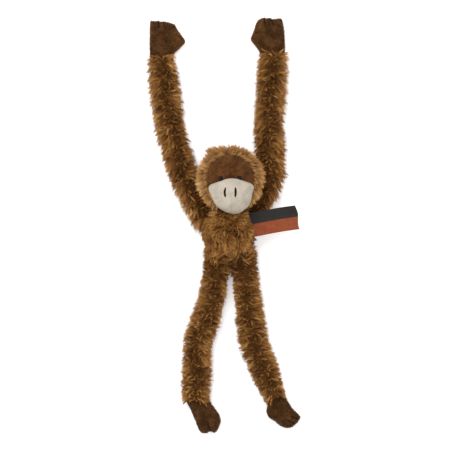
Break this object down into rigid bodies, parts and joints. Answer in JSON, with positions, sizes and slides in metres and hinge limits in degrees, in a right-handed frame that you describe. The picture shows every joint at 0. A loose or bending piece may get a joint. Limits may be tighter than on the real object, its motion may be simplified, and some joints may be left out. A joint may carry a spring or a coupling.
{
  "type": "stuffed monkey",
  "caption": "Long-limbed stuffed monkey in brown plush, lying on its back with its arms above its head, with felt face, hands and feet and a sewn side label.",
  "frame": {"origin": "middle of the flat of the torso's back, on the surface that the toy lies on", "axes": "+Z from the back to the face, +Y from the feet to the hands, +X to the toy's own left"},
  "size_m": [0.1863, 0.5001, 0.0721],
  "materials": {
    "body_plush": "long matted pile, dark at the roots and tan at the tips",
    "head_plush": "long light tan pile",
    "brown_felt": "soft brushed felt",
    "brow_felt": "soft brushed felt",
    "cream_felt": "short brushed cream felt",
    "filling": "loose polyester fibre",
    "black_thread": "satin embroidery thread",
    "eye": "glossy moulded bead",
    "washer": "plain moulded",
    "label": "woven satin ribbon"
  },
  "bodies": {
    "torso": {"torso_front": "body_plush", "torso_back": "body_plush", "torso_filling": "filling"},
    "label": {"side_label": "label"},
    "neck": {"neck_gather": "body_plush"},
    "head": {"head_cover": "head_plush", "brow_panel": "brow_felt", "muzzle_panel": "cream_felt", "head_filling": "filling", "nostril_stitches": "black_thread", "right_eye": "eye", "left_eye": "eye", "eye_washers": "washer", "right_ear": "brow_felt", "left_ear": "brow_felt"},
    "right_shoulder": {"right_shoulder_gather": "body_plush"},
    "right_upper_arm": {"right_arm_upper_sleeve": "body_plush", "right_arm_upper_filling": "filling"},
    "right_middle_arm": {"right_arm_middle_sleeve": "body_plush", "right_arm_middle_filling": "filling"},
    "right_lower_arm": {"right_arm_lower_sleeve": "body_plush", "right_arm_lower_filling": "filling"},
    "right_hand": {"right_hand_palm": "brown_felt", "right_hand_back": "brown_felt", "right_hand_filling": "filling", "right_finger_stitches": "black_thread"},
    "right_hip": {"right_hip_gather": "body_plush"},
    "right_upper_leg": {"right_leg_upper_sleeve": "body_plush", "right_leg_upper_filling": "filling"},
    "right_middle_leg": {"right_leg_middle_sleeve": "body_plush", "right_leg_middle_filling": "filling"},
    "right_lower_leg": {"right_leg_lower_sleeve": "body_plush", "right_leg_lower_filling": "filling"},
    "right_foot": {"right_foot_sole": "brown_felt", "right_foot_top": "brown_felt", "right_foot_filling": "filling", "right_toe_stitches": "black_thread"},
    "left_shoulder": {"left_shoulder_gather": "body_plush"},
    "left_upper_arm": {"left_arm_upper_sleeve": "body_plush", "left_arm_upper_filling": "filling"},
    "left_middle_arm": {"left_arm_middle_sleeve": "body_plush", "left_arm_middle_filling": "filling"},
    "left_lower_arm": {"left_arm_lower_sleeve": "body_plush", "left_arm_lower_filling": "filling"},
    "left_hand": {"left_hand_palm": "brown_felt", "left_hand_back": "brown_felt", "left_hand_filling": "filling", "left_finger_stitches": "black_thread"},
    "left_hip": {"left_hip_gather": "body_plush"},
    "left_upper_leg": {"left_leg_upper_sleeve": "body_plush", "left_leg_upper_filling": "filling"},
    "left_middle_leg": {"left_leg_middle_sleeve": "body_plush", "left_leg_middle_filling": "filling"},
    "left_lower_leg": {"left_leg_lower_sleeve": "body_plush", "left_leg_lower_filling": "filling"},
    "left_foot": {"left_foot_sole": "brown_felt", "left_foot_top": "brown_felt", "left_foot_filling": "filling", "left_toe_stitches": "black_thread"}
  },
  "joints": [
    {"name": "neck_nod", "type": "hinge", "parent": "torso", "child": "neck", "pos_m": [0, 0.029, 0.0275], "axis": [1, 0, 0], "range_deg": [0, 12]},
    {"name": "neck_turn", "type": "hinge", "parent": "neck", "child": "head", "pos_m": [0, 0.029, 0.0275], "axis": [0, 1, 0], "range_deg": [-30, 20]},
    {"name": "label_flap", "type": "hinge", "parent": "torso", "child": "label", "pos_m": [0.02688, 0.0103, 0.0298], "axis": [-0.1736, 0.9848, 0], "range_deg": [-70, 8]},
    {"name": "right_shoulder_swing", "type": "hinge", "parent": "torso", "child": "right_shoulder", "pos_m": [-0.029, 0.021, 0.0105], "axis": [0, 0, -1], "range_deg": [-100, 0]},
    {"name": "right_shoulder_raise", "type": "hinge", "parent": "right_shoulder", "child": "right_upper_arm", "pos_m": [-0.029, 0.021, 0.0105], "axis": [0.823, 0.4535, 0.342], "range_deg": [0, 50]},
    {"name": "right_elbow_bend", "type": "hinge", "parent": "right_upper_arm", "child": "right_middle_arm", "pos_m": [-0.05313, 0.06479, 0.0105], "axis": [0.9613, 0.2756, 0], "range_deg": [0, 60]},
    {"name": "right_forearm_bend", "type": "hinge", "parent": "right_middle_arm", "child": "right_lower_arm", "pos_m": [-0.0716, 0.1292, 0.0105], "axis": [0.9925, 0.1219, 0], "range_deg": [0, 55]},
    {"name": "right_wrist_bend", "type": "hinge", "parent": "right_lower_arm", "child": "right_hand", "pos_m": [-0.08098, 0.20562, 0.0105], "axis": [1, 0, 0], "range_deg": [0, 50]},
    {"name": "right_hip_swing", "type": "hinge", "parent": "torso", "child": "right_hip", "pos_m": [-0.0138, -0.0305, 0.0115], "axis": [0, 0, -1], "range_deg": [0, 45]},
    {"name": "right_hip_raise", "type": "hinge", "parent": "right_hip", "child": "right_upper_leg", "pos_m": [-0.0138, -0.0305, 0.0115], "axis": [0.9945, -0.1045, 0], "range_deg": [-55, 0]},
    {"name": "right_knee_bend", "type": "hinge", "parent": "right_upper_leg", "child": "right_middle_leg", "pos_m": [-0.01892, -0.07923, 0.0115], "axis": [0.9336, -0.3584, 0], "range_deg": [-60, 0]},
    {"name": "right_shin_bend", "type": "hinge", "parent": "right_middle_leg", "child": "right_lower_leg", "pos_m": [-0.03756, -0.12778, 0.0115], "axis": [0.9994, -0.0349, 0], "range_deg": [-55, 0]},
    {"name": "right_ankle_bend", "type": "hinge", "parent": "right_lower_leg", "child": "right_foot", "pos_m": [-0.03979, -0.19174, 0.0115], "axis": [0.9563, 0.2924, 0], "range_deg": [-45, 0]},
    {"name": "left_shoulder_swing", "type": "hinge", "parent": "torso", "child": "left_shoulder", "pos_m": [0.029, 0.021, 0.0105], "axis": [0, 0, -1], "range_deg": [0, 100]},
    {"name": "left_shoulder_raise", "type": "hinge", "parent": "left_shoulder", "child": "left_upper_arm", "pos_m": [0.029, 0.021, 0.0105], "axis": [-0.8507, 0.3992, 0.342], "range_deg": [-33, 0]},
    {"name": "left_elbow_bend", "type": "hinge", "parent": "left_upper_arm", "child": "left_middle_arm", "pos_m": [0.05024, 0.06626, 0.0105], "axis": [-0.9994, -0.0349, 0], "range_deg": [-55, 0]},
    {"name": "left_forearm_bend", "type": "hinge", "parent": "left_middle_arm", "child": "left_lower_arm", "pos_m": [0.0479, 0.13322, 0.0105], "axis": [-0.9976, 0.0698, 0], "range_deg": [-55, 0]},
    {"name": "left_wrist_bend", "type": "hinge", "parent": "left_lower_arm", "child": "left_hand", "pos_m": [0.05328, 0.21003, 0.0105], "axis": [-0.9994, -0.0349, 0], "range_deg": [-50, 0]},
    {"name": "left_hip_swing", "type": "hinge", "parent": "torso", "child": "left_hip", "pos_m": [0.0172, -0.0305, 0.0115], "axis": [0, 0, -1], "range_deg": [-45, 0]},
    {"name": "left_hip_raise", "type": "hinge", "parent": "left_hip", "child": "left_upper_leg", "pos_m": [0.0172, -0.0305, 0.0115], "axis": [-0.9962, -0.0872, 0], "range_deg": [0, 55]},
    {"name": "left_knee_bend", "type": "hinge", "parent": "left_upper_leg", "child": "left_middle_leg", "pos_m": [0.02147, -0.07931, 0.0115], "axis": [-0.9877, -0.1564, 0], "range_deg": [0, 60]},
    {"name": "left_shin_bend", "type": "hinge", "parent": "left_middle_leg", "child": "left_lower_leg", "pos_m": [0.0296, -0.13067, 0.0115], "axis": [-0.9336, -0.3584, 0], "range_deg": [0, 55]},
    {"name": "left_ankle_bend", "type": "hinge", "parent": "left_lower_leg", "child": "left_foot", "pos_m": [0.05254, -0.19042, 0.0115], "axis": [-0.7986, -0.6018, 0], "range_deg": [0, 45]}
  ]
}
